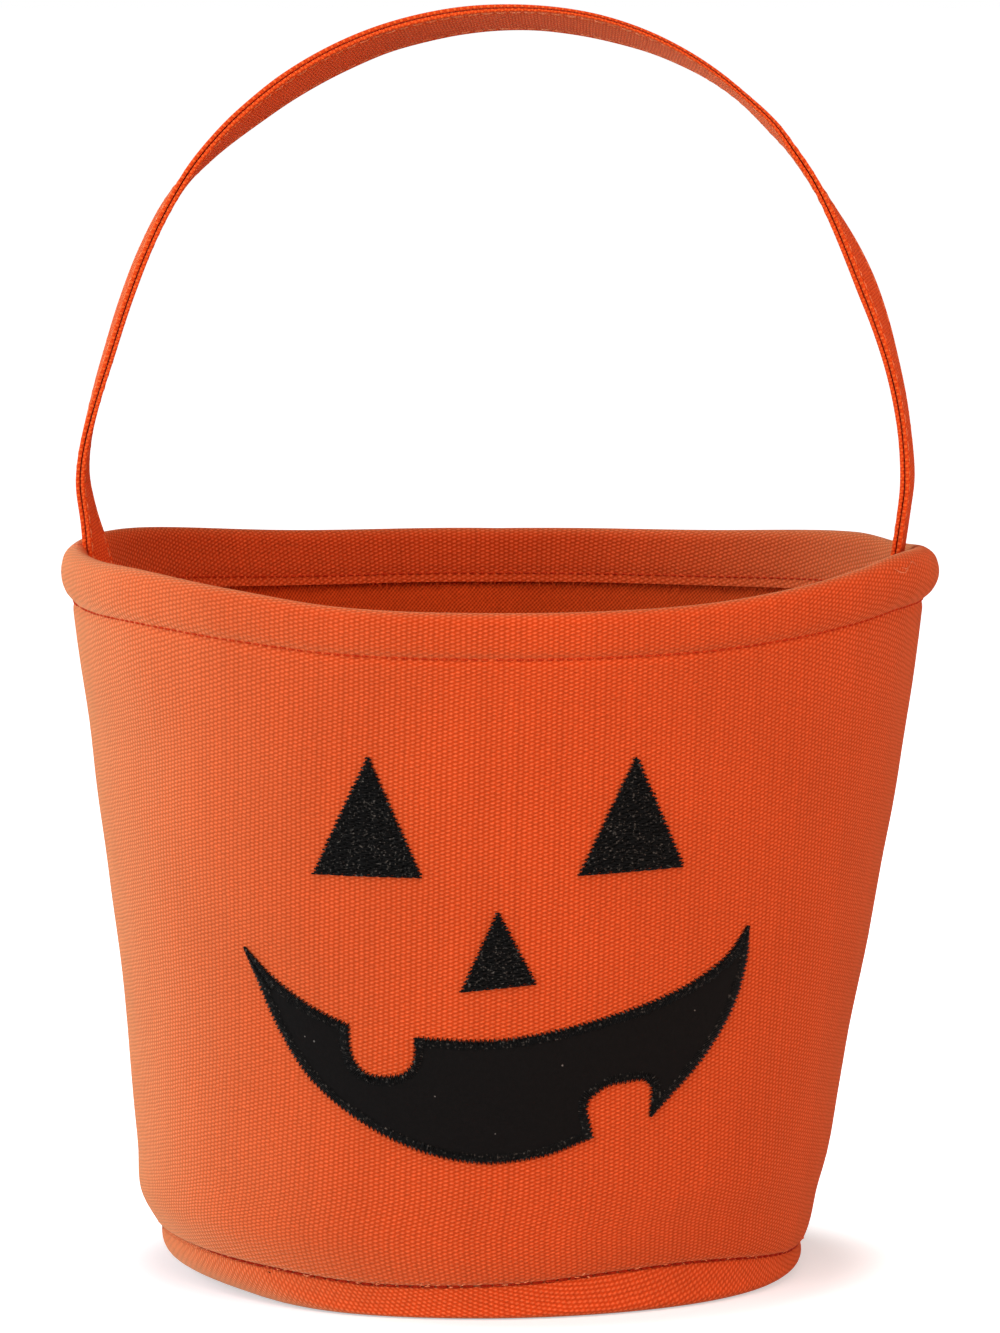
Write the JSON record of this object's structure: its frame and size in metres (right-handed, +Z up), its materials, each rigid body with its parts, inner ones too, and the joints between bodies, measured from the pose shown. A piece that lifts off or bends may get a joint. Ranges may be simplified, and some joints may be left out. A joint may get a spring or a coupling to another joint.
{
  "type": "trick-or-treat bucket",
  "caption": "Round tapered canvas bucket with a folded hem, padded base, upright two-ply strap handle and a pumpkin face on the front.",
  "frame": {"origin": "on the floor under the middle of the base", "axes": "+Z up, the face looks towards -Y, +X to the right as seen from the front; the strap's ends are at -X and +X"},
  "size_m": [0.2386, 0.2376, 0.3478],
  "materials": {
    "canvas": "coarse matt weave",
    "strap": "ribbed matt weave",
    "lining": "fine matt weave",
    "foam": "soft matt",
    "board": "matt",
    "thread": "silky thread",
    "felt": "matt felt"
  },
  "bodies": {
    "bucket": {"front_panel": "canvas", "back_panel": "canvas", "front_interlining": "foam", "back_interlining": "foam", "front_lining": "lining", "back_lining": "lining", "base_panel": "canvas", "base_pad": "foam", "base_board": "board", "base_lining": "lining", "handle_left_end_outer_ply": "strap", "handle_left_end_inner_ply": "strap", "handle_right_end_outer_ply": "strap", "handle_right_end_inner_ply": "strap", "left_eye": "thread", "right_eye": "thread", "nose": "thread", "mouth": "felt"},
    "handle": {"handle_outer_ply": "strap", "handle_inner_ply": "strap"}
  },
  "joints": [
    {"name": "handle_swing", "type": "hinge", "parent": "bucket", "child": "handle", "pos_m": [0, 0, 0.218], "axis": [1, 0, 0], "range_deg": [-85, 85], "deforming": ["handle_left_end_outer_ply", "handle_left_end_inner_ply", "handle_right_end_outer_ply", "handle_right_end_inner_ply"]}
  ]
}
